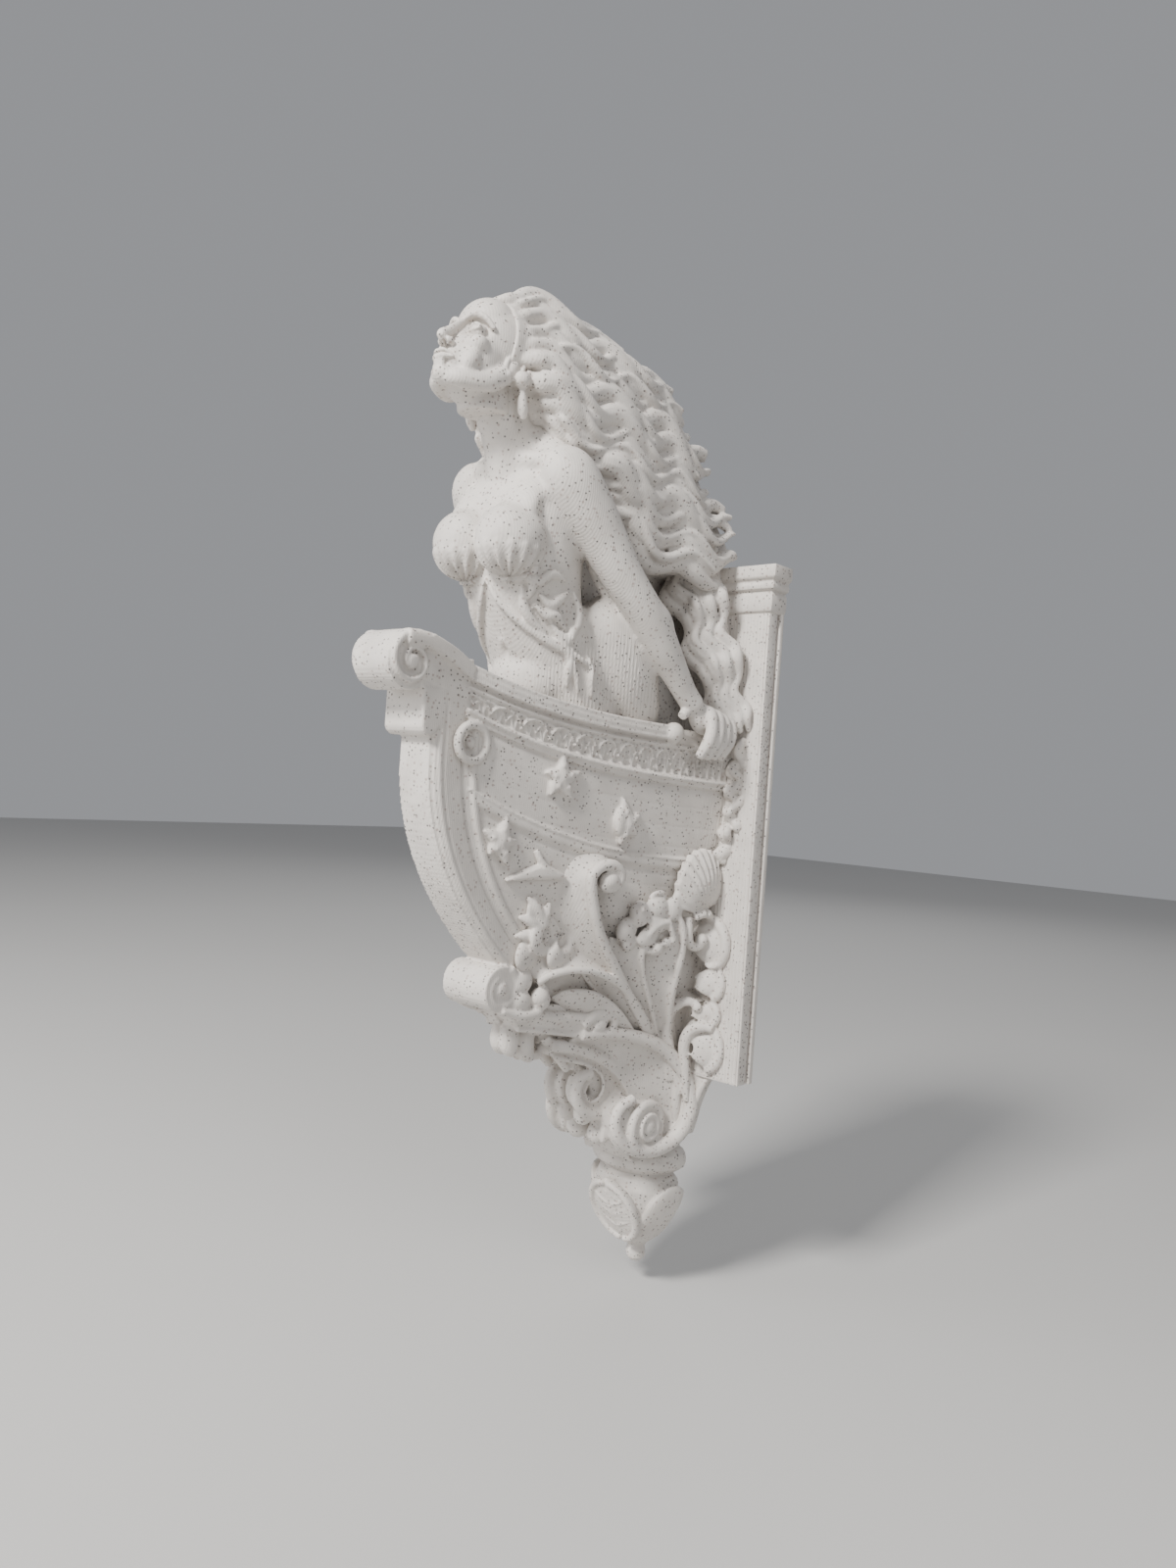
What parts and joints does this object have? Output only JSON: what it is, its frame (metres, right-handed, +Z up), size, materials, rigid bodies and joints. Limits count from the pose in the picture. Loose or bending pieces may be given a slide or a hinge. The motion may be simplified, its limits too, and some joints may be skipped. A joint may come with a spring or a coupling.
{
  "type": "ship figurehead wall ornament",
  "caption": "Wall ornament: a woman of the sea leaning out of a ship's bow on a moulded panel, over a scroll console with a pendant finial.",
  "frame": {"origin": "middle of the flat back of the panel, in the wall's plane", "axes": "+Z up along the panel's height; +Y into the wall, so the bow faces -Y; +X to the figure's left"},
  "size_m": [0.0416, 0.0636, 0.1463],
  "materials": {
    "marble_print": "warm pale grey printed plastic with fine dark specks and faint print layers"
  },
  "bodies": {
    "root": {"figurehead": "marble_print"}
  },
  "joints": []
}
